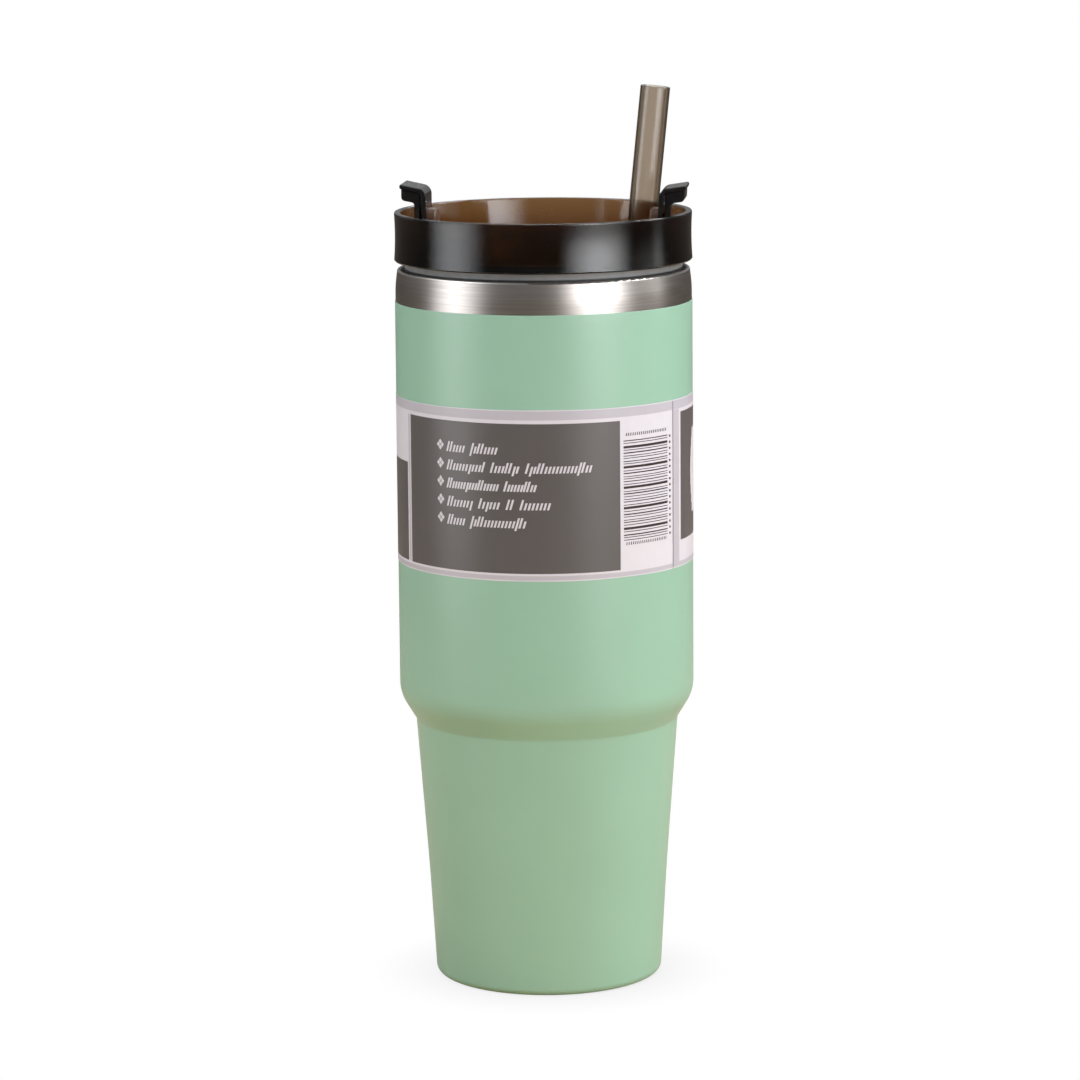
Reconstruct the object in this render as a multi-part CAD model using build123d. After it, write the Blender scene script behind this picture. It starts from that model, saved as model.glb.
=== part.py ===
from build123d import *
import os
from math import cos, radians

# Insulated straw tumbler: double-walled steel cup, push-in lid with a raised ring wall,
# two flip stoppers and a drinking straw. Millimetres, +Z up, origin at the centre of the
# base, in the plane that the cup stands on.

# ---------------------------------------------------------------- driving dimensions
sheet = 0.5                 # steel sheet of the walls
body_r = 45.4               # painted upper body
band_r = 45.22              # bare steel band below the mouth
mouth_r = 44.65             # outside of the lip
base_r = 34.93              # lower body, carried down to the table
waist_r = 36.95             # lower body at the height waist_z
neck_r = 40.45              # lower body where the shoulder starts
waist_z = 34.0
neck_z = 80.9
shoulder_z = 89.0           # corner between shoulder cone and upper body
paint_top_z = 210.3
mouth_z = 220.0             # top of the steel lip
foot_inner_r = 31.5         # inner edge of the ring that the cup stands on

gap = 2.6                   # vacuum gap between the walls
liner_r = 42.1              # outside of the liner in the upper body
liner_floor_z = 11.0        # drinking side of the liner's floor
liner_joint_z = 17.0        # weld between liner tube and liner floor
floor_flat_r = 22.0         # the liner's floor is dished inside this radius
floor_crown = 0.6           # and its middle stands this much higher

mid_base_z = 4.5            # underside of the welded base
pump_hole_r = 0.8           # hole that the vacuum was drawn through
pump_hole_z = 2.9           # underside of the dish around that hole
cover_rim_z = 2.3           # top of the base cover's brim
cover_panel_r = 20.0        # raised round panel in the middle of the cover

getter_x = 16.0             # pellet's distance from the axis
getter_r = 4.0
getter_thick = 2.2
getter_top_z = liner_floor_z - sheet - 0.9
clip_metal = 0.3
clip_width = 3.0
clip_foot = 2.6

label_low_z = 130.5
label_high_z = 182.2
label_thick = 0.13
label_seam_deg = 66.0       # seam, measured from -Y towards +X
label_overlap_deg = 12.0

rim_z = 237.3               # top of the lid's ring wall
ring_low_z = 222.45         # underside of the lid's flange
ring_r = 45.45              # ring wall at its lower edge
ring_waist_r = 45.15        # ring wall at mid height
deck_z = 224.0              # top of the lid's deck
deck_thick = 2.2
skirt_r = 40.2              # outside of the plug skirt
skirt_wall = 1.5
skirt_bead = 0.9            # the skirt is thicker by this much behind the seal groove
skirt_low_z = 205.0
groove_depth = 0.9
groove_low_z = 208.2
groove_high_z = 211.8

hinge_x = 36.8              # distance of both hinge axes from the cup's axis
hinge_z = 227.0
pin_r = 1.0
pin_length = 14.6
pin_clearance = 0.05
lug_inner_y = 5.0
lug_outer_y = 7.4
lug_r = 2.7
arm_thick = 3.7
arm_width = 15.5
plate_thick = 1.4           # full-width plate on the inner side of the arm and on the tab's top
rib_width = 13.3            # thicker rib under the plate
arm_start = 3.4             # the full-width arm begins this far from the hinge axis
neck_width = 9.4            # hinge barrel, between the lugs
barrel_r = 2.4
stopper_reach = 8.0         # hinge axis to the middle of the stopper
stopper_across = 6.0
stopper_long = 11.0
stopper_deep = 2.7
stopper_clearance = 0.4
spout_open_deg = 0.0        # how far each open flip leans outwards past upright
vent_open_deg = 3.5

straw_r = 4.55
straw_wall = 1.0
straw_lean_deg = 5.8
straw_x = 28.3              # straw's axis where it crosses the top of the deck
straw_y = 15.0
straw_top_z = 274.0
straw_low_z = 12.3
grommet_r = 5.9


# ---------------------------------------------------------------- helpers
def at(radius, height):
    """Point of a turned outline."""
    return (radius, 0, height)


def outline(points, radii):
    """Run of straight lines through the points, with each inner corner rounded."""
    return FilletPolyline(*[at(r, z) for r, z in points], radius=radii)


def turned(*edges):
    """Solid turned about the Z axis from a closed outline."""
    return revolve(make_face([edge for run in edges for edge in run.edges()]), Axis.Z, 360)


def ring(inner, outer, low, high):
    """Plain ring about the Z axis."""
    corners = [at(inner, low), at(outer, low), at(outer, high), at(inner, high)]
    return revolve(make_face(Polyline(*corners, close=True)), Axis.Z, 360)


def slot_plate(across, long, thick):
    """Oval plate standing on z = 0, long along Y."""
    return extrude(Rot(0, 0, 90) * SlotOverall(long, across), thick)


# ---------------------------------------------------------------- cup
def make_outer_shell():
    """Outer wall: tapered lower body, shoulder, painted upper body and bare band."""
    skin = outline(
        [(foot_inner_r, 0), (base_r, 0), (waist_r, waist_z), (neck_r, neck_z),
         (body_r, shoulder_z), (body_r, paint_top_z)],
        [2.4, 900, 2.2, 12])
    step = Line(at(body_r, paint_top_z), at(band_r, paint_top_z))
    band = outline(
        [(band_r, paint_top_z), (band_r, mouth_z - 5.2), (mouth_r, mouth_z - 0.6)], [40])
    edge = Line(at(mouth_r, mouth_z - 0.6), at(mouth_r - sheet, mouth_z - 0.6))
    inside = outline(
        [(mouth_r - sheet, mouth_z - 0.6), (band_r - sheet, mouth_z - 5.4),
         (band_r - sheet, shoulder_z + 0.3), (neck_r - sheet, neck_z + 0.3),
         (waist_r - sheet, waist_z), (base_r - sheet, sheet), (foot_inner_r, sheet)],
        [40, 11.5, 2.7, 900, 1.9])
    foot = Line(at(foot_inner_r, sheet), at(foot_inner_r, 0))
    return turned(skin, step, band, edge, inside, foot)


def make_inner_liner():
    """Inner wall, flared at the mouth into the lip that is welded to the outer shell."""
    low_r = waist_r - sheet - gap - (waist_z - liner_joint_z) * (waist_r - base_r) / waist_z
    vacuum_side = outline(
        [(low_r, liner_joint_z), (waist_r - sheet - gap, waist_z),
         (neck_r - sheet - gap, neck_z + 1.4), (liner_r, shoulder_z + 1.0),
         (liner_r, mouth_z - 7.4), (mouth_r - sheet, mouth_z - 0.9)],
        [900, 5.5, 9, 8])
    weld = Polyline(at(mouth_r - sheet, mouth_z - 0.9), at(mouth_r - sheet, mouth_z - 0.6),
                    at(mouth_r, mouth_z - 0.6))
    lip = ThreePointArc(at(mouth_r, mouth_z - 0.6), at(mouth_r - 0.62, mouth_z),
                        at(mouth_r - 1.24, mouth_z - 0.75))
    drink_side = outline(
        [(mouth_r - 1.24, mouth_z - 0.75), (liner_r - sheet, mouth_z - 7.4),
         (liner_r - sheet, shoulder_z + 1.3), (neck_r - 2 * sheet - gap, neck_z + 1.7),
         (waist_r - 2 * sheet - gap, waist_z), (low_r - sheet, liner_joint_z)],
        [8, 8.5, 6, 900])
    end = Line(at(low_r - sheet, liner_joint_z), at(low_r, liner_joint_z))
    return turned(vacuum_side, weld, lip, drink_side, end)


def make_liner_base():
    """Pressed floor of the liner, butt-welded to the liner tube."""
    top_r = waist_r - sheet - gap - (waist_z - liner_joint_z) * (waist_r - base_r) / waist_z
    under_z = liner_floor_z - sheet
    drink_side = outline(
        [(0, liner_floor_z + floor_crown), (floor_flat_r, liner_floor_z),
         (top_r - sheet - 0.35, liner_floor_z), (top_r - sheet, liner_joint_z)], [120, 4.0])
    weld = Line(at(top_r - sheet, liner_joint_z), at(top_r, liner_joint_z))
    vacuum_side = outline(
        [(top_r, liner_joint_z), (top_r - 0.35, under_z), (floor_flat_r, under_z),
         (0, under_z + floor_crown)], [4.5, 120])
    axis = Line(at(0, under_z + floor_crown), at(0, liner_floor_z + floor_crown))
    return turned(drink_side, weld, vacuum_side, axis)


def make_mid_base():
    """Welded base that closes the vacuum, dished in the middle around its pump-out hole."""
    wall_r = base_r - sheet + 0.2
    brim_z = mid_base_z + 4.0
    dish_z = pump_hole_z + sheet
    upper = outline(
        [(pump_hole_r, dish_z), (4.5, dish_z), (8.5, mid_base_z + sheet),
         (wall_r - sheet - 0.1, mid_base_z + sheet), (wall_r - sheet, brim_z)], [1.0, 1.0, 1.6])
    brim = Line(at(wall_r - sheet, brim_z), at(wall_r, brim_z))
    lower = outline(
        [(wall_r, brim_z), (wall_r - 0.1, mid_base_z), (8.8, mid_base_z), (4.8, pump_hole_z),
         (pump_hole_r, pump_hole_z)], [2.1, 1.2, 1.2])
    hole = Line(at(pump_hole_r, pump_hole_z), at(pump_hole_r, dish_z))
    return turned(upper, brim, lower, hole)


def make_base_cover():
    """Cosmetic disc pressed into the foot, with a shallow round panel in its middle."""
    upper = outline(
        [(0, 1.5), (cover_panel_r, 1.5), (cover_panel_r + 1.5, 0.9), (foot_inner_r - 0.9, 0.9),
         (foot_inner_r - sheet, cover_rim_z)], [0.8, 0.8, 0.3])
    brim = Line(at(foot_inner_r - sheet, cover_rim_z), at(foot_inner_r, cover_rim_z))
    lower = outline(
        [(foot_inner_r, cover_rim_z), (foot_inner_r - 0.4, 0.4), (cover_panel_r + 1.3, 0.4),
         (cover_panel_r - 0.2, 1.0), (0, 1.0)], [0.8, 0.8, 0.8])
    axis = Line(at(0, 1.0), at(0, 1.5))
    return turned(upper, brim, lower, axis)


def make_seal_bead():
    """Drop of solder glass that plugs the pump-out hole from below."""
    low_z = pump_hole_z - 1.0
    dome_r = 2.7
    top_z = pump_hole_z + sheet
    dome = ThreePointArc(at(0, low_z), at(1.9, low_z + 0.3), at(dome_r, pump_hole_z))
    neck = Polyline(at(dome_r, pump_hole_z), at(pump_hole_r, pump_hole_z),
                    at(pump_hole_r, top_z), at(0, top_z), at(0, low_z))
    return turned(dome, neck)


def make_getter_pellet():
    """Getter pellet that keeps the vacuum, hung under the liner's floor."""
    low = getter_top_z - getter_thick
    pellet = Pos(getter_x, 0, low) * extrude(Circle(getter_r), getter_thick)
    return chamfer(pellet.edges(), 0.25)


def make_getter_clip():
    """Strap that holds the pellet, spot-welded to the liner's floor by two feet."""
    low = getter_top_z - getter_thick - clip_metal
    high = liner_floor_z - sheet
    half = getter_r + 0.3
    standing = (Align.MIN, Align.CENTER, Align.MIN)
    bottom = Box(2 * (half + clip_metal), clip_width, clip_metal, align=standing)
    side = Box(clip_metal, clip_width, high - low, align=standing)
    foot = Box(clip_foot, clip_width, clip_metal, align=(Align.MIN, Align.CENTER, Align.MAX))
    left, right = getter_x - half, getter_x + half
    clip = Pos(left - clip_metal, 0, low) * bottom
    clip += Pos(right, 0, low) * side + Pos(right, 0, high) * foot
    clip += Pos(left - clip_metal, 0, low) * side + Pos(left - clip_foot, 0, high) * foot
    return clip


def make_label_sleeve():
    """Paper wrap around the upper body, its ends overlapping at the seam."""
    wrap = ring(body_r, body_r + label_thick, label_low_z, label_high_z)
    face = make_face(Polyline(
        at(body_r + label_thick, label_low_z), at(body_r + 2 * label_thick, label_low_z),
        at(body_r + 2 * label_thick, label_high_z), at(body_r + label_thick, label_high_z),
        close=True))
    lap = revolve(face, Axis.Z, label_overlap_deg)
    return wrap + Rot(0, 0, label_seam_deg - 90) * lap


# ---------------------------------------------------------------- lid
def hole_cutter(side):
    """Oval drinking or vent opening under a closed stopper; side is -1 or +1."""
    across = stopper_across + 2 * stopper_clearance
    long = stopper_long + 2 * stopper_clearance
    place = Pos(side * (hinge_x - stopper_reach), 0, deck_z - deck_thick - 1)
    return place * slot_plate(across, long, deck_thick + 3)


def hole_bead(side):
    """Low bead around an opening."""
    across = stopper_across + 2 * stopper_clearance + 2.2
    long = stopper_long + 2 * stopper_clearance + 2.2
    bead = slot_plate(across, long, 1.1)
    bead = chamfer(bead.edges().group_by(Axis.Z)[-1], 0.3)
    return Pos(side * (hinge_x - stopper_reach), 0, deck_z - 0.6) * bead


def lug(side, flank):
    """Hinge ear: a round top on a foot that reaches the deck."""
    width = lug_outer_y - lug_inner_y
    top = Pos(0, 0, hinge_z) * Rot(90, 0, 0) * Cylinder(lug_r, width)
    tall = hinge_z - deck_z + 0.6
    foot = Pos(0, 0, hinge_z - tall / 2) * Box(2 * lug_r, width, tall)
    middle = flank * (lug_outer_y + lug_inner_y) / 2
    return Pos(side * hinge_x, middle, 0) * (top + foot)


def straw_axis_location():
    """Frame on the deck's top with its Z along the leaning straw."""
    return Pos(straw_x, straw_y, deck_z) * Rot(0, straw_lean_deg, 0)


def make_lid_body():
    """One moulding: ring wall, deck, flange and plug skirt, with hinge ears and holes."""
    wall_top_in = 43.4
    wall_foot_in = 42.0
    wall = ThreePointArc(at(ring_r, ring_low_z + 0.4), at(ring_waist_r, 230.0),
                         at(ring_r - 0.1, rim_z - 0.5))
    rim = outline(
        [(ring_r - 0.1, rim_z - 0.5), (ring_r - 0.2, rim_z), (wall_top_in, rim_z),
         (wall_foot_in, deck_z), (0, deck_z)], [0.3, 0.45, 1.2])
    axis = Line(at(0, deck_z), at(0, deck_z - deck_thick))
    skirt_in = skirt_r - skirt_wall
    bead_in = skirt_in - skirt_bead
    underside = outline(
        [(0, deck_z - deck_thick), (skirt_in, deck_z - deck_thick),
         (skirt_in, groove_high_z + 2.5), (bead_in, groove_high_z + 1.3), (bead_in, skirt_low_z),
         (skirt_r - 0.2, skirt_low_z), (skirt_r, groove_low_z)], [0.3, 0.5, 0.5, 0.6, 0.5])
    groove = Polyline(
        at(skirt_r, groove_low_z), at(skirt_r - groove_depth, groove_low_z),
        at(skirt_r - groove_depth, groove_high_z), at(skirt_r, groove_high_z))
    flange = Polyline(at(skirt_r, groove_high_z), at(skirt_r, ring_low_z),
                      at(ring_r - 0.4, ring_low_z), at(ring_r, ring_low_z + 0.4))
    lid = turned(wall, rim, axis, underside, groove, flange)
    for side in (-1, 1):
        lid += hole_bead(side)
        for flank in (-1, 1):
            lid += lug(side, flank)
    for side in (-1, 1):
        lid -= hole_cutter(side)
        lid -= Pos(side * hinge_x, 0, hinge_z) * Rot(90, 0, 0) * Cylinder(pin_r, pin_length)
    lid -= Pos(straw_x, straw_y, deck_z - 1.1) * Cylinder(grommet_r, 8)
    return lid


def make_lid_gasket():
    """Grey wedge gasket around the top of the skirt, seen between lid and steel lip."""
    outer = 42.4
    corners = [at(skirt_r, ring_low_z), at(outer, ring_low_z), at(outer, 218.6),
               at(42.1, 217.2), at(41.6, 217.2), at(41.0, 218.6), at(skirt_r, 218.6)]
    return revolve(make_face(Polyline(*corners, close=True)), Axis.Z, 360)


def make_skirt_seal():
    """Seal ring in the skirt's groove, with two soft fins."""
    root = skirt_r - groove_depth
    band = skirt_r
    tip = 41.2
    corners = [at(root, groove_low_z)]
    for low in (groove_low_z, groove_low_z + 2.0):
        corners += [at(band, low), at(tip, low + 0.5), at(tip, low + 0.8), at(band, low + 1.2)]
    corners += [at(band, groove_high_z), at(root, groove_high_z)]
    return revolve(make_face(Polyline(*corners, close=True)), Axis.Z, 360)


def make_straw_grommet():
    """Flanged grommet in the deck; its bore leans with the straw."""
    under = deck_z - deck_thick
    corners = [at(0, under - 0.8), at(6.1, under - 0.8), at(6.3, under - 0.4), at(6.3, under),
               at(grommet_r, under), at(grommet_r, deck_z), at(6.6, deck_z),
               at(6.6, deck_z + 0.5), at(6.2, deck_z + 0.9), at(0, deck_z + 0.9)]
    plug = revolve(make_face(Polyline(*corners, close=True)), Axis.Z, 360)
    bore = straw_axis_location() * Cylinder(straw_r + pin_clearance + 0.03, 30)
    return Pos(straw_x, straw_y, 0) * plug - bore


def make_pin(side):
    """Steel hinge pin, pressed into the two ears."""
    pin = chamfer(Cylinder(pin_r, pin_length).edges(), 0.2)
    return Pos(side * hinge_x, 0, hinge_z) * Rot(90, 0, 0) * pin


# ---------------------------------------------------------------- flip stoppers
def flip_place(open_deg):
    """Places a flip that is drawn upright, outwards along +X, on its hinge axis."""
    return Pos(hinge_x, 0, hinge_z) * Rot(0, open_deg, 0)


def hook_prism(corners, radii, width):
    """Hooked outline in the XZ plane, its inner corners rounded, centred on y = 0."""
    bend = FilletPolyline(*[at(u, w) for u, w in corners], radius=radii)
    root = Line(at(*corners[-1]), at(*corners[0]))
    prism = extrude(make_face(bend.edges() + [root.edge()]), width / 2, both=True)
    above_root = prism.edges().filter_by(Plane.XZ).filter_by(lambda e: e.center().Z > 6)
    return chamfer(above_root, 0.25)


def make_flip():
    """Flip drawn with its hinge axis on Y through the origin, standing open.

    The arm rises along +Z and its hooked finger tab points outwards, along +X.
    """
    half = arm_thick / 2
    tip = 6.2
    plate_in = plate_thick - half
    plate = hook_prism(
        [(-half, arm_start), (-half, 17.2), (tip, 18.9), (tip, 18.9 - plate_thick),
         (plate_in, 17.2 - plate_thick), (plate_in, arm_start)], [2.9, 0.5, 0.5, 1.5], arm_width)
    rib = hook_prism(
        [(0, arm_start), (0, 16.2), (tip - 0.4, 17.9), (tip - 0.4, 13.9), (half, 13.1),
         (half, arm_start)], [1.2, 0.6, 1.2, 1.0], rib_width)
    barrel = Rot(90, 0, 0) * Cylinder(barrel_r, neck_width)
    web = Pos(0, 0, (arm_start + 0.6) / 2) * Box(arm_thick, neck_width, arm_start + 0.6)
    flip = plate + rib + barrel + web
    flip -= Rot(90, 0, 0) * Cylinder(pin_r + pin_clearance, neck_width + 1)
    flip -= Pos(0, 0, stopper_reach) * Rot(0, 90, 0) * Cylinder(1.5, arm_thick + 1)
    flip -= Pos(half - 0.5, 0, stopper_reach) * Rot(0, 90, 0) * Cylinder(2.6, 1.001)
    return flip


def make_stopper():
    """Soft oval stopper on the arm's inner face, held by a stem with a button head."""
    half = arm_thick / 2
    plate = slot_plate(stopper_across, stopper_long, stopper_deep)
    plate = chamfer(plate.edges().group_by(Axis.Z)[-1], 0.5)
    oval = Pos(-half, 0, stopper_reach) * Rot(0, -90, 0) * plate
    stem = Pos(-0.5, 0, stopper_reach) * Rot(0, 90, 0) * Cylinder(1.5, arm_thick - 1)
    button = Pos(half - 0.5, 0, stopper_reach) * Rot(0, 90, 0) * Cylinder(2.6, 1.0)
    return oval + stem + button


def on_left(shape):
    """Turns a right-hand flip round to the left-hand hinge."""
    return Rot(0, 0, 180) * shape


# ---------------------------------------------------------------- straw
def make_straw():
    """Straight tube that leans in its grommet, from above the rim to near the floor."""
    above = (straw_top_z - deck_z) / cos(radians(straw_lean_deg))
    below = (deck_z - straw_low_z) / cos(radians(straw_lean_deg))
    tube = extrude(Circle(straw_r) - Circle(straw_r - straw_wall), above + below)
    tube = fillet(tube.edges(), 0.3)
    return straw_axis_location() * Pos(0, 0, -below) * tube


# ---------------------------------------------------------------- all nodes
nodes = {
    "outer_shell": make_outer_shell(),
    "inner_liner": make_inner_liner(),
    "liner_base": make_liner_base(),
    "mid_base": make_mid_base(),
    "base_cover": make_base_cover(),
    "seal_bead": make_seal_bead(),
    "getter_pellet": make_getter_pellet(),
    "getter_clip": make_getter_clip(),
    "label_sleeve": make_label_sleeve(),
    "lid_body": make_lid_body(),
    "lid_gasket": make_lid_gasket(),
    "skirt_seal": make_skirt_seal(),
    "straw_grommet": make_straw_grommet(),
    "spout_pin": make_pin(-1),
    "vent_pin": make_pin(1),
    "spout_flip": on_left(flip_place(spout_open_deg) * make_flip()),
    "spout_stopper": on_left(flip_place(spout_open_deg) * make_stopper()),
    "vent_flip": flip_place(vent_open_deg) * make_flip(),
    "vent_stopper": flip_place(vent_open_deg) * make_stopper(),
    "straw": make_straw(),
}

os.makedirs("parts", exist_ok=True)
for name, shape in nodes.items():
    export_step(shape, f"parts/{name}.step")
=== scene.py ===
"""Looks of an insulated straw tumbler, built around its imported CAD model.

The painted shell and the paper wrap are rebuilt as finer meshes; every other CAD node keeps
its own mesh and gets a procedural finish. Sizes named *_mm are millimetres.
"""
import math

import bpy
from mathutils import Matrix, Vector, noise


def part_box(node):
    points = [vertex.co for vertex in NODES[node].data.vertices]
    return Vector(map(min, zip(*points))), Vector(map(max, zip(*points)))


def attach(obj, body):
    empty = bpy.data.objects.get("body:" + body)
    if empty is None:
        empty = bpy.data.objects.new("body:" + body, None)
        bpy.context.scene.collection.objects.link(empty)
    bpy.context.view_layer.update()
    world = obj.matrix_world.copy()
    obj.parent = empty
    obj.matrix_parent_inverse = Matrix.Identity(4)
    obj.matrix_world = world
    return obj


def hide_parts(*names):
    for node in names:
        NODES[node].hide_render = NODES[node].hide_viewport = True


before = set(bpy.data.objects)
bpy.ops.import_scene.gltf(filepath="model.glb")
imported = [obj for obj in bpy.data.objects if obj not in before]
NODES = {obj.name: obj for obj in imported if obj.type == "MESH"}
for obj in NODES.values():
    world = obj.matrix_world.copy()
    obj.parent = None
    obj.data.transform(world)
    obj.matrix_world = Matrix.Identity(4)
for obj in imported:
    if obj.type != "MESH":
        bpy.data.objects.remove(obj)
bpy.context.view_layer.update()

MM = 0.001

# ---------------------------------------------------------------- sizes
shell_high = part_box("outer_shell")[1]
wrap_low, wrap_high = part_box("label_sleeve")
BODY_R = shell_high.x / MM              # painted upper body
WRAP_LOW = wrap_low.z / MM
WRAP_HIGH = wrap_high.z / MM

SHEET = 0.5                             # steel sheet
BAND_R = BODY_R - 0.18                  # bare band, set back by the paint's thickness
MOUTH_R = BODY_R - 0.75
BASE_R = 34.93
WAIST_R, WAIST_Z = 36.95, 34.0
NECK_R, NECK_Z = 40.45, 80.9
SHOULDER_Z = 89.0
PAINT_TOP = 210.3
SHELL_TOP = shell_high.z / MM
FOOT_INNER_R = 31.5
GASKET_SHADE_DEPTHS = (2.15, 1.85)               # painted shade of the gap above the steel: the gasket is dark below these depths under its top

PAPER = 0.07                            # wrap's thickness, thin to stay in the CAD's box
SEAM = 63.0                             # wrap's outer end, in degrees from -Y towards +X
LAP = 12.0                              # how far its ends overlap
INK = 0.012                             # printed film


# ---------------------------------------------------------------- mesh helpers
def rounded(points, radii, step_deg=5.0):
    """Outline through (radius, height) points with an arc of each radius at the inner corners."""
    line = [Vector(points[0])]
    for before, corner, after, radius in zip(points, points[1:], points[2:], radii):
        corner = Vector(corner)
        back = (Vector(before) - corner).normalized()
        ahead = (Vector(after) - corner).normalized()
        half = back.angle(ahead) / 2
        centre = corner + (back + ahead).normalized() * radius / math.sin(half)
        spoke = corner + back * radius / math.tan(half) - centre
        turn = math.pi - 2 * half
        if back.x * ahead.y - back.y * ahead.x > 0:
            turn = -turn
        steps = max(4, math.ceil(abs(math.degrees(turn)) / step_deg))
        for i in range(steps + 1):
            line.append(centre + Matrix.Rotation(turn * i / steps, 2) @ spoke)
    line.append(Vector(points[-1]))
    return [tuple(p) for p in line]


def divided(line, longest):
    """The same outline with its long runs cut into pieces no longer than longest."""
    result = [line[0]]
    for start, end in zip(line, line[1:]):
        cuts = max(1, math.ceil((Vector(end) - Vector(start)).length / longest))
        for i in range(1, cuts + 1):
            result.append(tuple(Vector(start).lerp(Vector(end), i / cuts)))
    return result


def new_piece(name, vertices, faces, materials, face_materials, sharp_deg=40.0):
    """Mesh object in metres from millimetre vertices, smooth except at sharp edges."""
    mesh = bpy.data.meshes.new(name)
    mesh.from_pydata([Vector(v) * MM for v in vertices], [], faces)
    for material in materials:
        mesh.materials.append(material)
    mesh.polygons.foreach_set("material_index", face_materials)
    mesh.polygons.foreach_set("use_smooth", [True] * len(faces))
    mesh.set_sharp_from_angle(angle=math.radians(sharp_deg))
    mesh.validate()
    piece = bpy.data.objects.new(name, mesh)
    bpy.context.scene.collection.objects.link(piece)
    return piece


def lathe(name, runs, materials, segments):
    """Closed ring turned about Z from runs of (outline, material index) that meet end to end."""
    outline, zones = [], []
    for line, zone in runs:
        outline += line[:-1]
        zones += [zone] * (len(line) - 1)
    count = len(outline)
    vertices, faces, face_zones = [], [], []
    for s in range(segments):
        turn = 2 * math.pi * s / segments
        vertices += [(r * math.sin(turn), -r * math.cos(turn), z) for r, z in outline]
    for s in range(segments):
        near, far = s * count, (s + 1) % segments * count
        for i in range(count):
            j = (i + 1) % count
            faces.append((near + i, far + i, far + j, near + j))
            face_zones.append(zones[i])
    return new_piece(name, vertices, faces, materials, face_zones)


# ---------------------------------------------------------------- material helpers
def linear(red, green, blue):
    """Linear colour from 0-255 display values."""
    def one(value):
        value /= 255
        return value / 12.92 if value <= 0.04045 else ((value + 0.055) / 1.055) ** 2.4
    return one(red), one(green), one(blue), 1.0


class Finish:
    """Principled material with procedural detail in the object's own coordinates."""

    def __init__(self, name, colour, settings):
        self.material = bpy.data.materials.new(name)
        self.material.use_nodes = True
        self.tree = self.material.node_tree
        self.shader = self.tree.nodes["Principled BSDF"]
        self.colour = colour
        self.shader.inputs["Base Color"].default_value = colour
        for socket, value in settings.items():
            self.shader.inputs[socket].default_value = value
        self.height = None

    def node(self, kind, **inputs):
        made = self.tree.nodes.new(kind)
        for socket, value in inputs.items():
            made.inputs[socket.replace("_", " ")].default_value = value
        return made

    def link(self, output, target):
        self.tree.links.new(output, target)

    def grain(self, size_mm, detail=2.0, long=(1, 1, 1)):
        """Noise whose features measure size_mm, drawn out by the factors in long."""
        place = self.node("ShaderNodeTexCoord")
        mapping = self.node("ShaderNodeMapping")
        mapping.inputs["Scale"].default_value = [1 / (size_mm * MM * f) for f in long]
        self.link(place.outputs["Object"], mapping.inputs["Vector"])
        made = self.node("ShaderNodeTexNoise", Scale=1.0, Detail=detail)
        self.link(mapping.outputs["Vector"], made.inputs["Vector"])
        return made.outputs["Fac"]

    def rings(self, size_mm):
        """Noise in concentric rings about Z, for turned or spun sheet."""
        place = self.node("ShaderNodeTexCoord")
        flat = self.node("ShaderNodeVectorMath")
        flat.operation = "MULTIPLY"
        flat.inputs[1].default_value = (1, 1, 0)
        self.link(place.outputs["Object"], flat.inputs[0])
        length = self.node("ShaderNodeVectorMath")
        length.operation = "LENGTH"
        self.link(flat.outputs["Vector"], length.inputs[0])
        made = self.node("ShaderNodeTexNoise", Scale=1 / (size_mm * MM), Detail=3.0)
        made.noise_dimensions = "1D"
        self.link(length.outputs["Value"], made.inputs["W"])
        return made.outputs["Fac"]

    def ranged(self, source, low, high, start=0.3, end=0.7):
        """Eases from low to high while the source goes from start to end."""
        made = self.node("ShaderNodeMapRange", From_Min=start, From_Max=end,
                         To_Min=low, To_Max=high)
        made.interpolation_type = "SMOOTHSTEP"
        self.link(source, made.inputs["Value"])
        return made.outputs["Result"]

    def tint(self, source, low, high):
        """Colour from low to high times the base colour."""
        mix = self.node("ShaderNodeMix")
        mix.data_type = "RGBA"
        for socket, factor in zip((mix.inputs[6], mix.inputs[7]), (low, high)):
            socket.default_value = [min(1, c * factor) for c in self.colour[:3]] + [1]
        self.link(self.ranged(source, 0, 1), mix.inputs[0])
        self.link(mix.outputs[2], self.shader.inputs["Base Color"])
        return self

    def rough(self, source, low, high):
        """Roughness from low to high."""
        self.link(self.ranged(source, low, high), self.shader.inputs["Roughness"])
        return self

    def bump(self, source, depth_mm, strength=1.0):
        """Adds a bump of that depth on top of any earlier one."""
        made = self.node("ShaderNodeBump", Strength=strength, Distance=depth_mm * MM)
        self.link(source, made.inputs["Height"])
        if self.height is not None:
            self.link(self.height, made.inputs["Normal"])
        self.height = made.outputs["Normal"]
        self.link(self.height, self.shader.inputs["Normal"])
        return self

    def brushed(self, anisotropy, rotation):
        """Stretches reflections across scratches that run round the Z axis."""
        tangent = self.node("ShaderNodeTangent")
        tangent.direction_type = "RADIAL"
        tangent.axis = "Z"
        self.link(tangent.outputs["Tangent"], self.shader.inputs["Tangent"])
        self.shader.inputs["Anisotropic"].default_value = anisotropy
        self.shader.inputs["Anisotropic Rotation"].default_value = rotation
        return self

    def absorbing(self, per_mm):
        """Clear tinted plastic: light lost per millimetre in red, green and blue."""
        volume = self.node("ShaderNodeVolumeAbsorption")
        most = max(per_mm)
        volume.inputs["Color"].default_value = [1 - a / most for a in per_mm] + [1]
        volume.inputs["Density"].default_value = most / MM
        output = self.tree.nodes["Material Output"]
        self.link(volume.outputs["Volume"], output.inputs["Volume"])
        return self


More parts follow.
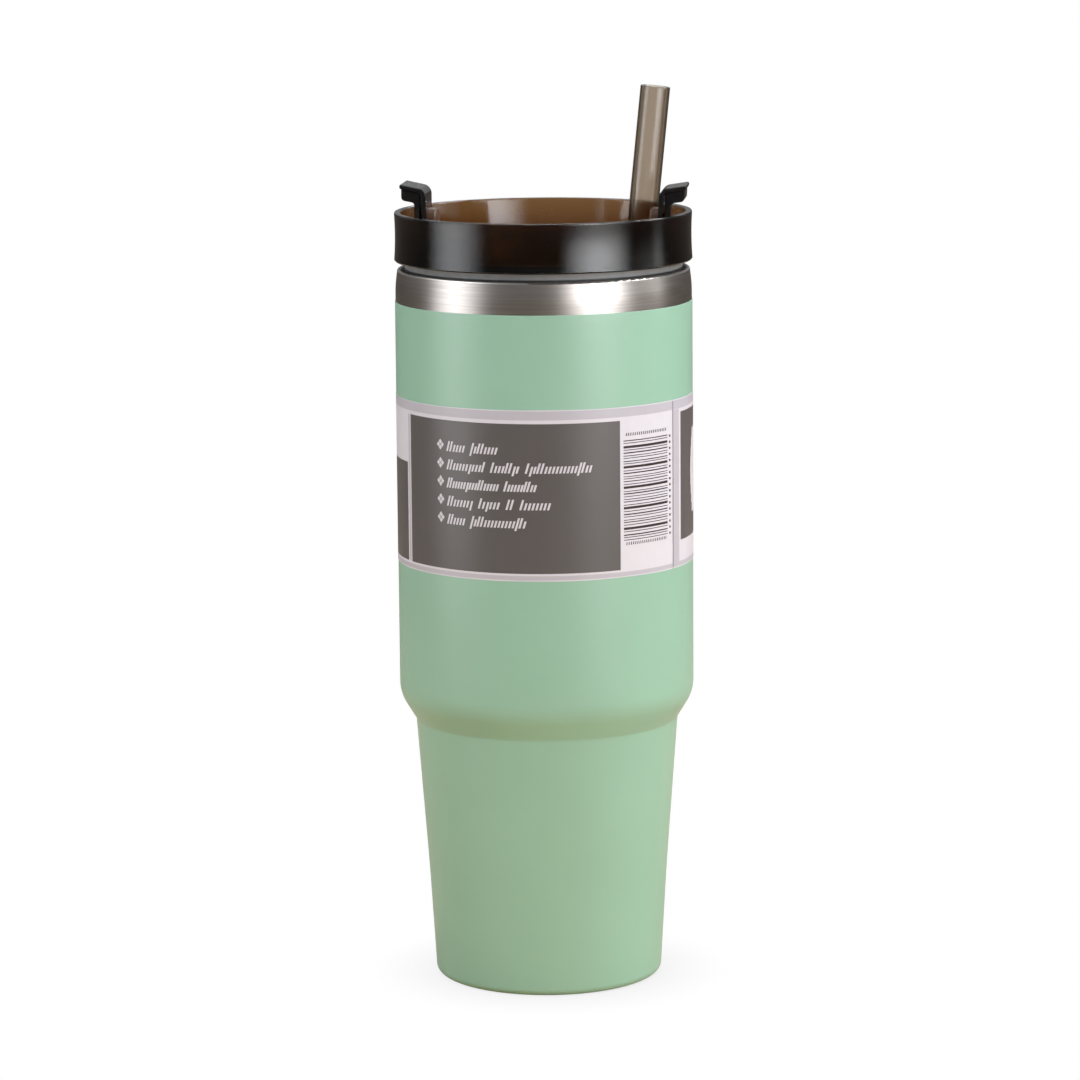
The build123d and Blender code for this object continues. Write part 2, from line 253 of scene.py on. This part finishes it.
# ---------------------------------------------------------------- finishes
def make_paint():
    """Satin mint powder coat: fine orange peel, a little cloudiness."""
    paint = Finish("mint_powder_coat", linear(136, 175, 156), {"IOR": 1.5})
    paint.tint(paint.grain(26, 3), 0.985, 1.015)
    paint.rough(paint.grain(9, 3), 0.31, 0.37)
    paint.bump(paint.grain(0.9, 2), 0.006)
    paint.bump(paint.grain(0.28, 1), 0.003)
    return paint.material


def make_brushed_steel(name, colour, roughness, anisotropy):
    """Sheet brushed round the axis: hair-fine long scratches and soft streaks."""
    steel = Finish(name, colour, {"Metallic": 1.0})
    scratches = steel.grain(0.12, 3, (120, 120, 1))
    streaks = steel.grain(0.45, 3, (60, 60, 1))
    steel.tint(streaks, 0.90, 1.06)
    steel.rough(scratches, roughness - 0.03, roughness + 0.04)
    steel.bump(scratches, 0.0012)
    steel.brushed(anisotropy, 0.25)
    return steel.material


def make_spun_steel(name, colour, roughness, line_mm, depth_mm):
    """Pressed disc with concentric polishing lines."""
    steel = Finish(name, colour, {"Metallic": 1.0})
    lines = steel.rings(line_mm)
    steel.tint(steel.grain(7, 3), 0.93, 1.04)
    steel.rough(lines, roughness - 0.05, roughness + 0.08)
    steel.bump(lines, depth_mm)
    return steel.material


def make_metal(name, colour, roughness):
    """Plain metal with fine pitting and a cloudy polish."""
    metal = Finish(name, colour, {"Metallic": 1.0})
    metal.tint(metal.grain(2.5, 3), 0.9, 1.05)
    metal.rough(metal.grain(0.6, 3), roughness - 0.06, roughness + 0.1)
    metal.bump(metal.grain(0.15, 2), 0.003)
    return metal.material


def make_smoke_plastic():
    """Dark clear styrene lid: brown where thin, nearly black where thick."""
    smoke = Finish("smoke_plastic", (1, 1, 1, 1),
                   {"Transmission Weight": 1.0, "IOR": 1.5})
    smoke.rough(smoke.grain(6, 3), 0.09, 0.12)
    smoke.bump(smoke.grain(14, 2), 0.012)
    smoke.bump(smoke.grain(0.5, 2), 0.0006)
    smoke.absorbing((0.92, 1.28, 1.86))
    return smoke.material


def make_straw_plastic():
    """Smoky translucent straw with faint drawing lines along its length, and a painted shade that
    darkens it where its wall is seen edge-on.
    """
    straw = Finish("straw_plastic", (1, 1, 1, 1),
                   {"Transmission Weight": 1.0, "IOR": 1.5, "Roughness": 0.12})
    lines = straw.grain(0.5, 2, (1, 1, 120))
    straw.rough(lines, 0.09, 0.17)
    straw.bump(lines, 0.004)
    # painted shade: the straw's colour darkens where its wall is seen edge-on, standing in for the
    # dark rims a clear tube shows
    edge = straw.node("ShaderNodeLayerWeight", Blend=0.5)
    ramp = straw.node("ShaderNodeValToRGB")
    ramp.color_ramp.elements[0].position = 0.30
    ramp.color_ramp.elements[0].color = (1, 1, 1, 1)
    ramp.color_ramp.elements[1].position = 0.52
    ramp.color_ramp.elements[1].color = (0.16, 0.16, 0.14, 1)
    straw.link(edge.outputs["Facing"], ramp.inputs["Fac"])
    straw.link(ramp.outputs["Color"], straw.shader.inputs["Base Color"])
    straw.absorbing((0.56, 0.68, 0.82))
    return straw.material


def make_black_plastic():
    """Glossy black moulding with a trace of flow marks and handling wear."""
    black = Finish("black_plastic", linear(17, 17, 18), {"IOR": 1.5})
    black.tint(black.grain(3, 3), 0.8, 1.25)
    black.rough(black.grain(1.6, 4), 0.12, 0.24)
    black.bump(black.grain(2.4, 2), 0.008)
    return black.material


def make_rubber(name, colour, roughness):
    """Matt rubbery moulding with dust-fine grain, as a Finish that can be added to."""
    rubber = Finish(name, colour, {"IOR": 1.41, "Subsurface Weight": 0.15,
                                   "Subsurface Scale": 0.0012})
    rubber.tint(rubber.grain(4, 3), 0.92, 1.06)
    rubber.rough(rubber.grain(1.2, 2), roughness - 0.08, roughness + 0.08)
    rubber.bump(rubber.grain(0.22, 2), 0.004)
    return rubber


def make_silicone(name, colour, roughness):
    """Plain rubbery moulding of one colour."""
    return make_rubber(name, colour, roughness).material


def make_gasket():
    """Grey gasket with a painted shade on its lower edge, where it meets the steel and the gap
    falls dark.
    """
    rubber = make_rubber("gasket_silicone", linear(126, 127, 127), 0.5)
    place = rubber.node("ShaderNodeTexCoord")
    split = rubber.node("ShaderNodeSeparateXYZ")
    rubber.link(place.outputs["Object"], split.inputs[0])
    top = max(corner[2] for corner in NODES["lid_gasket"].bound_box)
    low, high = (top - drop * MM for drop in GASKET_SHADE_DEPTHS)
    # mask of the painted shade: 0 on the gasket's lower edge, 1 above it
    painted_shade = rubber.ranged(split.outputs["Z"], 0, 1, low, high)
    mix = rubber.node("ShaderNodeMix")
    mix.data_type = "RGBA"
    # painted shade: the dark colour of that lower edge, standing in for the shadow in the gap
    # above the steel
    mix.inputs[6].default_value = linear(40, 38, 38)
    rubber.link(rubber.shader.inputs["Base Color"].links[0].from_socket, mix.inputs[7])
    rubber.link(painted_shade, mix.inputs[0])
    rubber.link(mix.outputs[2], rubber.shader.inputs["Base Color"])
    return rubber.material


def make_print(name, colour, roughness):
    """Paper or ink of the wrap: paper fibre under a thin varnish."""
    paper = Finish(name, colour, {"IOR": 1.45})
    paper.tint(paper.grain(3.2, 4), 0.985, 1.01)
    paper.rough(paper.grain(9, 2), roughness - 0.02, roughness + 0.02)
    paper.bump(paper.grain(0.9, 2), 0.0015)
    return paper.material


steel_tone = linear(196, 191, 187)
paint = make_paint()
brushed = make_brushed_steel("brushed_steel", linear(168, 162, 158), 0.31, 0.4)
liner_steel = make_brushed_steel("liner_steel", linear(188, 184, 180), 0.34, 0.5)
spun = make_spun_steel("spun_steel", steel_tone, 0.34, 0.35, 0.004)
mill = make_metal("mill_steel", linear(150, 147, 143), 0.42)
smoke = make_smoke_plastic()
straw_plastic = make_straw_plastic()
black = make_black_plastic()
grey_silicone = make_silicone("grey_silicone", linear(104, 104, 105), 0.5)
gasket = make_gasket()
smoke_silicone = make_silicone("smoke_silicone", linear(84, 60, 42), 0.5)
dark_silicone = make_silicone("dark_silicone", linear(12, 12, 12), 0.42)
pin_steel = make_metal("pin_steel", linear(205, 203, 200), 0.22)
getter = make_metal("getter_metal", linear(96, 92, 88), 0.5)
solder = make_silicone("solder_glass", linear(60, 52, 44), 0.3)
paper = make_print("wrap_paper", linear(198, 197, 207), 0.40)
# this dark ink also colours the painted shadow along the wrap's seam
ink_and_shadow_dark = make_print("ink_and_shadow_grey", linear(84, 81, 82), 0.31)
ink_strip = make_print("ink_lavender", linear(172, 170, 181), 0.38)
ink_black = make_print("ink_black", linear(44, 32, 34), 0.42)

FINISHES = {
    "inner_liner": liner_steel, "liner_base": spun, "mid_base": mill, "base_cover": spun,
    "seal_bead": solder, "getter_pellet": getter, "getter_clip": mill,
    "lid_body": smoke, "lid_gasket": gasket, "skirt_seal": grey_silicone,
    "straw_grommet": dark_silicone, "spout_pin": pin_steel, "vent_pin": pin_steel,
    "spout_flip": black, "vent_flip": black,
    "spout_stopper": smoke_silicone, "vent_stopper": smoke_silicone, "straw": straw_plastic,
}
for node, finish in FINISHES.items():
    for place in NODES[node].material_slots:
        place.material = finish


# ---------------------------------------------------------------- painted shell
def make_shell():
    """Outer wall with its powder coat, bare band and bare inner side."""
    skin = rounded(
        [(FOOT_INNER_R, 0), (BASE_R, 0), (WAIST_R, WAIST_Z), (NECK_R, NECK_Z),
         (BODY_R, SHOULDER_Z), (BODY_R, PAINT_TOP - 0.12), (BODY_R - 0.12, PAINT_TOP),
         (BAND_R, PAINT_TOP)], [2.4, 900, 2.2, 12, 0.1, 0.02])
    top = SHELL_TOP
    band = rounded([(BAND_R, PAINT_TOP), (BAND_R, top - 4.6), (MOUTH_R, top)], [40], 0.25)
    edge = [(MOUTH_R, top), (MOUTH_R - SHEET, top)]
    inside = rounded(
        [(MOUTH_R - SHEET, top), (BAND_R - SHEET, top - 4.8),
         (BAND_R - SHEET, SHOULDER_Z + 0.3), (NECK_R - SHEET, NECK_Z + 0.3),
         (WAIST_R - SHEET, WAIST_Z), (BASE_R - SHEET, SHEET), (FOOT_INNER_R, SHEET)],
        [40, 11.5, 2.7, 900, 1.9])
    foot = [(FOOT_INNER_R, SHEET), (FOOT_INNER_R, 0)]
    runs = [(divided(skin, 4.0), 0), (divided(band, 2.0), 1), (edge, 1), (inside, 2), (foot, 1)]
    shell = lathe("shell_painted", runs, [paint, brushed, mill], 320)
    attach(shell, "cup")
    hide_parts("outer_shell")


make_shell()


# ---------------------------------------------------------------- paper wrap
def wrap_offset(degrees, z_mm):
    """Radial place of the paper's outer face beyond the body, in mm, with soft wrinkles.

    degrees runs from the outer end at the seam, once round, and on under the lap.
    """
    lift = 1 - min(1, max(0, (degrees - SEAM - LAP) / 5))
    around = math.radians(degrees)
    spot = Vector((math.sin(around) * 2.2, math.cos(around) * 2.2, z_mm / 28))
    wrinkle = 0.009 * (1 + noise.noise(spot * 1.3))
    return PAPER + (PAPER + 0.02) * lift ** 2 * (3 - 2 * lift) + wrinkle


def wrap_point(degrees, z_mm, proud=0.0):
    """Point on the paper's outer face, or proud millimetres above it."""
    around = math.radians(degrees)
    radius = BODY_R + wrap_offset(degrees, z_mm) + proud
    return radius * math.sin(around), -radius * math.cos(around), z_mm


def edge_wave(degrees):
    """How far the cut edge wanders from straight, 0 to about 0.3 mm."""
    return 0.15 + 0.15 * noise.noise(Vector((degrees / 21, 3.7, 0)))


def slab(grid_a, grid_z, thick, proud):
    """Closed curved slab over a grid of angles and heights: (vertices, faces)."""
    across, up = len(grid_a), len(grid_z(grid_a[0]))
    vertices = []
    for layer in (proud, proud - thick):
        for a in grid_a:
            vertices += [wrap_point(a, z, layer) for z in grid_z(a)]
    half = across * up
    faces = []
    for i in range(across - 1):
        for j in range(up - 1):
            k = i * up + j
            faces.append((k, k + up, k + up + 1, k + 1))
            faces.append((half + k, half + k + 1, half + k + up + 1, half + k + up))
    rim = [i * up for i in range(across)] + [(across - 1) * up + j for j in range(1, up)]
    rim += [i * up + up - 1 for i in range(across - 2, -1, -1)] + list(range(up - 2, 0, -1))
    for k, m in zip(rim, rim[1:] + rim[:1]):
        faces.append((k, half + k, half + m, m))
    return vertices, faces


def spread(start, end, step):
    """Evenly spaced values from start to end, at most step apart."""
    cuts = max(1, math.ceil((end - start) / step))
    return [start + (end - start) * i / cuts for i in range(cuts + 1)]


def make_wrap():
    """Paper strip wound once round the body, its ends overlapping at the seam."""
    rows = 26

    def heights(degrees):
        low = WRAP_LOW + edge_wave(degrees + 500)
        high = WRAP_HIGH - edge_wave(degrees)
        return [low + (high - low) * j / rows for j in range(rows + 1)]

    angles = spread(SEAM, SEAM + 360 + LAP, 1.0)
    vertices, faces = slab(angles, heights, PAPER - 0.005, 0.0)
    wrap = new_piece("label_wrap", vertices, faces, [paper], [0] * len(faces), 60)
    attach(wrap, "cup")
    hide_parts("label_sleeve")


DARK, STRIP, BLACK, WHITE = range(4)
PANEL = (302.6, 395.0)                  # main panel's two edges, in degrees
RULE = (300.5, 301.8)                   # thin rule at its left
BULLET = 360 - 38.0                     # column of the rows' bullets
WORDS = 360 - 34.7                      # where the rows' words start
CODE = (396.5, 419.6)                   # stripe code
CODE_TICKS = 421.2                      # column of ticks beside it
NEXT_PANEL_END = 172.0                  # far edge of the panel past the seam
BADGE = (82.0, 118.0)
BADGE_ROWS = 9
mark_vertices, mark_faces, mark_inks = [], [], []


def add_wrap_mark(vertices, faces, ink):
    """Adds one mark to the layer: print, or the painted seam shadow."""
    base = len(mark_vertices)
    mark_vertices.extend(vertices)
    mark_faces.extend([tuple(base + k for k in face) for face in faces])
    mark_inks.extend([ink] * len(faces))


def field(start, end, low, high, ink, layer=1):
    """Rectangular printed field between two angles and two heights."""
    heights = spread(low, high, 2.0)
    add_wrap_mark(*slab(spread(start, end, 1.0), lambda a: heights, INK, INK * layer), ink)


def stroke(degrees, low, high, width_mm, slant_mm, ink, layer=2):
    """Short mark of print or of painted shadow; slant_mm is how far its top leans to the right."""
    per_mm = math.degrees(1 / BODY_R)
    middle = (low + high) / 2
    corners = []
    for side in (-0.5, 0.5):
        for z in (low, high):
            lean = slant_mm * ((z - middle) / (high - low))
            corners.append((degrees + (side * width_mm + lean) * per_mm, z))
    vertices = [wrap_point(a, z, INK * k) for k in (layer, layer - 1) for a, z in corners]
    faces = [(0, 2, 3, 1), (4, 5, 7, 6), (0, 4, 6, 2), (2, 6, 7, 3), (3, 7, 5, 1), (1, 5, 4, 0)]
    add_wrap_mark(vertices, faces, ink)


def diamond(degrees, z_mm, size_mm, ink, layer=2):
    """Printed diamond of that height."""
    per_mm = math.degrees(1 / BODY_R)
    half = size_mm / 2
    ends = [(0, -half), (half * 0.8, 0), (0, half), (-half * 0.8, 0)]
    vertices = [wrap_point(degrees + x * per_mm, z_mm + z, INK * k)
                for k in (layer, layer - 1) for x, z in ends]
    faces = [(0, 1, 2, 3), (7, 6, 5, 4), (0, 4, 5, 1), (1, 5, 6, 2), (2, 6, 7, 3), (3, 7, 4, 0)]
    add_wrap_mark(vertices, faces, ink)


def placeholder_words(start, end, z_mm, word_lengths):
    """Row of slanted hatch marks in word-like groups, which stands for a line of print."""
    spaces = 0.8 * (len(word_lengths) - 1)
    pitch = (end - start) / (2 * sum(word_lengths) + spaces * 2)
    place = start + pitch / 2
    mark = 0
    for length in word_lengths:
        for i in range(2 * length):
            tall = i == 0 or (mark * 7 + i * 5) % 11 < 2
            deep = (mark * 5 + i * 3) % 13 == 4
            low = z_mm - 1.35 - (0.8 if deep else 0)
            high = z_mm + 0.75 + (1.0 if tall else 0)
            stroke(place, low, high, 0.62, 0.30 * (high - low), WHITE)
            place += pitch
            mark += 1
        place += 1.6 * pitch


def stripes(start, end, low, high):
    """Plain stripe pattern in the place of a printed code."""
    z = low
    step = 0
    while z < high - 1.2:
        thick = (0.24, 0.24, 0.38, 0.24, 0.75, 0.24, 0.3)[step % 7]
        gap = (0.55, 0.4, 0.7, 0.45, 0.6)[step % 5]
        field(start, end, z, z + thick, BLACK)
        z += thick + gap
        step += 1


def make_print_and_seam_shadow():
    """Everything printed on the wrap, and a painted shadow along its lapped outer end. All printed
    marks are plain placeholders.
    """
    full = SEAM + 360
    panel_low, panel_high = WRAP_LOW + 2.4, WRAP_LOW + 47.5
    field(SEAM + 0.3, full, WRAP_LOW + 0.45, WRAP_LOW + 1.75, STRIP)
    field(SEAM + 0.3, full, WRAP_HIGH - 3.1, WRAP_HIGH - 0.4, STRIP)
    # main panel, with five rows of placeholder print
    field(*PANEL, panel_low, panel_high, DARK)
    field(*RULE, panel_low, panel_high, STRIP)
    rows = [(-12.5, (3, 4)), (23.5, (6, 4, 9)), (2.3, (9, 5)), (7.6, (4, 3, 1, 4)), (-1.7, (3, 8))]
    for row, (end, words) in enumerate(rows):
        z = WRAP_LOW + 40.0 - 5.5 * row
        for x, up in ((-1, 0), (1, 0), (0, -1), (0, 1)):
            diamond(BULLET + 1.0 * x, z + 0.88 * up, 1.6, WHITE)
        placeholder_words(WORDS, 360 + end, z - 0.5, words)
    # stripe code beside the seam, with rows of small ticks round it
    stripes(*CODE, WRAP_LOW + 11.2, WRAP_LOW + 42.4)
    for z in (WRAP_LOW + 10.2, WRAP_LOW + 43.2):
        for i in range(21):
            stroke(397.8 + i * 1.03, z - 0.45, z + 0.45, 0.34, 0.15, BLACK, 1)
    for i in range(17):
        stroke(CODE_TICKS, WRAP_LOW + 11 + i * 1.85, WRAP_LOW + 11.7 + i * 1.85, 0.75, 0, BLACK, 1)
    # outer end: grey margin, a painted shadow along the lapped edge, then the next dark panel with
    # a blank badge
    field(SEAM + 0.3, SEAM + 5.2, WRAP_LOW + 1.75, WRAP_HIGH - 3.2, STRIP)
    # painted shadow: a thin dark line down the wrap's outer end, for the shade of the lapped edge
    stroke(SEAM + 0.35, WRAP_LOW + 0.5, WRAP_HIGH - 0.5, 0.28, 0, DARK)
    field(SEAM + 6.6, NEXT_PANEL_END, WRAP_LOW + 8.2, panel_high, DARK)
    badge_low, badge_high = WRAP_LOW + 15.0, WRAP_LOW + 41.0
    for i in range(BADGE_ROWS):
        inset = 1.2 * (1 - math.sin(math.pi * (i + 0.5) / BADGE_ROWS)) * 3
        low = badge_low + (badge_high - badge_low) * i / BADGE_ROWS
        high = low + (badge_high - badge_low) / BADGE_ROWS
        field(BADGE[0] + inset, BADGE[1] - inset, low, high, WHITE, 2)
    for i in range(5):
        field(128.0, 160.0 - 4.0 * (i % 3), WRAP_LOW + 18.0 + 5.0 * i, WRAP_LOW + 19.2 + 5.0 * i,
              WHITE, 2)
    # far side: dark block under a white heading zone
    field(180.0, 299.5, panel_low, WRAP_LOW + 32.6, DARK)
    for i in range(3):
        field(190.0, 240.0 - 8 * i, WRAP_LOW + 36.6 + 3.2 * i, WRAP_LOW + 37.6 + 3.2 * i, DARK)
    for i in range(4):
        field(190.0, 262.0 - 11 * (i % 2), WRAP_LOW + 10.0 + 4.6 * i, WRAP_LOW + 11.1 + 4.6 * i,
              STRIP, 2)
    inks = [ink_and_shadow_dark, ink_strip, ink_black, paper]
    layer = new_piece("label_print_and_seam_shadow", mark_vertices, mark_faces, inks, mark_inks, 60)
    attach(layer, "cup")


make_wrap()
make_print_and_seam_shadow()


# ---------------------------------------------------------------- camera
CAMERA_AZIMUTH = math.radians(5.5)
CAMERA_PITCH = math.radians(9.53)
CAMERA_ROLL = math.radians(0.47)
CAMERA_DISTANCE = 1.340
CAMERA_HEIGHT = 0.360
FRAME_SIDE = 1080


def make_camera():
    """Long lens a little above the mug, turned slightly to its right."""
    data = bpy.data.cameras.new("camera")
    data.sensor_width = 36.0
    data.lens = 147.0
    data.shift_x = -5.7 / FRAME_SIDE
    data.shift_y = 1.8 / FRAME_SIDE
    data.clip_end = 100.0
    camera = bpy.data.objects.new("camera", data)
    bpy.context.scene.collection.objects.link(camera)
    sine, cosine = math.sin(CAMERA_AZIMUTH), math.cos(CAMERA_AZIMUTH)
    place = Vector((CAMERA_DISTANCE * sine, -CAMERA_DISTANCE * cosine, CAMERA_HEIGHT))
    level = Vector((-sine, cosine, 0))
    aim = level * math.cos(CAMERA_PITCH) - Vector((0, 0, math.sin(CAMERA_PITCH)))
    right = level.cross(Vector((0, 0, 1)))
    turn = Matrix((right, right.cross(aim), -aim)).transposed()
    spin = Matrix.Rotation(CAMERA_ROLL, 3, aim)
    camera.matrix_world = Matrix.Translation(place) @ (spin @ turn).to_4x4()
    bpy.context.scene.camera = camera


make_camera()


# ---------------------------------------------------------------- studio
def seen_directly(tree):
    """1 for rays that show the backdrop itself or look at it through clear plastic."""
    path = tree.nodes.new("ShaderNodeLightPath")
    either = tree.nodes.new("ShaderNodeMath")
    either.operation = "MAXIMUM"
    tree.links.new(path.outputs["Is Camera Ray"], either.inputs[0])
    tree.links.new(path.outputs["Is Transmission Ray"], either.inputs[1])
    return either.outputs["Value"]


def make_world():
    """White backdrop; a dim room with a pale ceiling for reflections and fill."""
    world = bpy.data.worlds.new("studio")
    world.use_nodes = True
    tree = world.node_tree
    tree.nodes.clear()
    place = tree.nodes.new("ShaderNodeTexCoord")
    split = tree.nodes.new("ShaderNodeSeparateXYZ")
    tree.links.new(place.outputs["Generated"], split.inputs[0])
    ramp = tree.nodes.new("ShaderNodeValToRGB")
    stops = [(0.0, (0.05, 0.042, 0.035, 1)), (0.03, (0.28, 0.28, 0.28, 1)),
             (0.20, (0.30, 0.30, 0.30, 1)), (0.55, (0.20, 0.21, 0.22, 1)),
             (0.95, (0.5, 0.5, 0.5, 1))]
    ramp.color_ramp.elements[0].position, ramp.color_ramp.elements[0].color = stops[0]
    ramp.color_ramp.elements[1].position, ramp.color_ramp.elements[1].color = stops[4]
    for position, colour in stops[1:4]:
        ramp.color_ramp.elements.new(position).color = colour
    tree.links.new(split.outputs["Z"], ramp.inputs["Fac"])
    room = tree.nodes.new("ShaderNodeBackground")
    tree.links.new(ramp.outputs["Color"], room.inputs["Color"])
    white = tree.nodes.new("ShaderNodeBackground")
    white.inputs["Color"].default_value = (1, 1, 1, 1)
    mix = tree.nodes.new("ShaderNodeMixShader")
    tree.links.new(seen_directly(tree), mix.inputs["Fac"])
    tree.links.new(room.outputs[0], mix.inputs[1])
    tree.links.new(white.outputs[0], mix.inputs[2])
    output = tree.nodes.new("ShaderNodeOutputWorld")
    tree.links.new(mix.outputs[0], output.inputs["Surface"])
    bpy.context.scene.world = world


FLOOR_HALF = 15.0
TABLE_NEAR = (0.66, 0.41, 0.16, 1)      # table beside the mug, as it lights matt surfaces
TABLE_NEAR_MIRRORED = (0.48, 0.39, 0.29, 1)     # the same, as glossy surfaces reflect it
TABLE_FAR = (0.26, 0.22, 0.19, 1)


def make_floor():
    """White studio floor with a faint contact shade; it lights the mug as a warm table."""
    half = FLOOR_HALF
    mesh = bpy.data.meshes.new("floor")
    mesh.from_pydata([(-half, -half, 0), (half, -half, 0), (half, half, 0), (-half, half, 0)],
                     [], [(0, 1, 2, 3)])
    floor = bpy.data.objects.new("floor", mesh)
    floor.location.z = -0.0001
    bpy.context.scene.collection.objects.link(floor)
    material = bpy.data.materials.new("floor")
    material.use_nodes = True
    mesh.materials.append(material)
    tree = material.node_tree
    tree.nodes.clear()
    shade = tree.nodes.new("ShaderNodeAmbientOcclusion")
    shade.inputs["Distance"].default_value = 0.022
    shade.samples = 8
    tone = tree.nodes.new("ShaderNodeMapRange")
    tone.inputs["To Min"].default_value = 0.80
    tree.links.new(shade.outputs["AO"], tone.inputs["Value"])
    shown = tree.nodes.new("ShaderNodeEmission")
    tree.links.new(tone.outputs["Result"], shown.inputs["Strength"])
    table = tree.nodes.new("ShaderNodeBsdfDiffuse")
    place = tree.nodes.new("ShaderNodeTexCoord")
    reach = tree.nodes.new("ShaderNodeVectorMath")
    reach.operation = "LENGTH"
    tree.links.new(place.outputs["Object"], reach.inputs[0])
    glossy = tree.nodes.new("ShaderNodeLightPath").outputs["Is Glossy Ray"]
    tone_mix = tree.nodes.new("ShaderNodeMix")
    tone_mix.data_type = "RGBA"
    tree.links.new(glossy, tone_mix.inputs[0])
    for near, target in ((TABLE_NEAR, 6), (TABLE_NEAR_MIRRORED, 7)):
        cloth = tree.nodes.new("ShaderNodeValToRGB")
        cloth.color_ramp.elements[0].position = 0.3
        cloth.color_ramp.elements[0].color = near
        cloth.color_ramp.elements[1].position = 0.95
        cloth.color_ramp.elements[1].color = TABLE_FAR
        tree.links.new(reach.outputs["Value"], cloth.inputs["Fac"])
        tree.links.new(cloth.outputs["Color"], tone_mix.inputs[target])
    tree.links.new(tone_mix.outputs[2], table.inputs["Color"])
    mix = tree.nodes.new("ShaderNodeMixShader")
    tree.links.new(seen_directly(tree), mix.inputs["Fac"])
    tree.links.new(table.outputs[0], mix.inputs[1])
    tree.links.new(shown.outputs[0], mix.inputs[2])
    output = tree.nodes.new("ShaderNodeOutputMaterial")
    tree.links.new(mix.outputs[0], output.inputs["Surface"])


def soften(data):
    """Makes a light brightest in its middle and lets it fade to nothing at its edges."""
    data.use_nodes = True
    tree = data.node_tree
    emission = tree.nodes["Emission"]
    place = tree.nodes.new("ShaderNodeNewGeometry")
    split = tree.nodes.new("ShaderNodeSeparateXYZ")
    tree.links.new(place.outputs["Parametric"], split.inputs[0])
    product = tree.nodes.new("ShaderNodeMath")
    product.operation = "MULTIPLY"
    for axis, fade in (("X", 0.5), ("Y", 0.22)):
        offset = tree.nodes.new("ShaderNodeMath")
        offset.operation = "PINGPONG"
        offset.inputs[1].default_value = 0.5
        tree.links.new(split.outputs[axis], offset.inputs[0])
        ease = tree.nodes.new("ShaderNodeMapRange")
        ease.interpolation_type = "SMOOTHSTEP"
        ease.inputs["From Max"].default_value = fade
        tree.links.new(offset.outputs[0], ease.inputs["Value"])
        tree.links.new(ease.outputs["Result"], product.inputs[0 if axis == "X" else 1])
    tree.links.new(product.outputs[0], emission.inputs["Strength"])


def softbox(name, azimuth_deg, distance, middle_z, width, height, watts, colour):
    """Upright soft light that faces the mug; azimuth from -Y towards +X."""
    data = bpy.data.lights.new(name, "AREA")
    data.shape = "RECTANGLE"
    data.size, data.size_y = width, height
    data.energy = watts
    data.color = colour
    soften(data)
    lamp = bpy.data.objects.new(name, data)
    around = math.radians(azimuth_deg)
    lamp.location = (distance * math.sin(around), -distance * math.cos(around), middle_z)
    lamp.rotation_euler = (math.pi / 2, 0, around)
    lamp.visible_camera = False
    lamp.visible_transmission = False
    bpy.context.scene.collection.objects.link(lamp)
    return lamp


def make_lights():
    """Soft key lights at both sides, low fills, high rear lights and one overhead."""
    softbox("key_right", 47.5, 1.0, 0.42, 1.22, 0.84, 25.5, (0.96, 0.98, 1.0))
    softbox("key_left", -66.0, 0.60, 0.62, 0.66, 0.50, 5.8, (0.93, 0.97, 1.0))
    softbox("strip_left", -65.0, 0.60, 0.20, 0.66, 0.40, 3.3, (0.93, 0.97, 1.0))
    softbox("edge_right", 103.0, 1.0, 0.44, 0.34, 0.84, 0.9, (1.0, 1.0, 1.0))
    softbox("fill_right", 95.0, 1.3, 0.5, 1.2, 0.9, 2.4, (1.0, 1.0, 1.0))
    softbox("high_right", 106.0, 1.0, 1.0, 0.9, 0.7, 34.0, (1.0, 1.0, 1.0))
    softbox("high_left", -100.0, 1.0, 1.0, 0.9, 0.7, 5.0, (1.0, 1.0, 1.0))
    softbox("back", 180.0, 1.2, 0.95, 1.2, 0.7, 12.0, (0.97, 0.985, 1.0))
    top = softbox("overhead", 0.0, 0.0, 1.5, 1.2, 1.2, 8.0, (1.0, 1.0, 1.0))
    top.rotation_euler = (0, 0, 0)


make_world()
make_floor()
make_lights()
bpy.context.scene.view_settings.view_transform = "Standard"
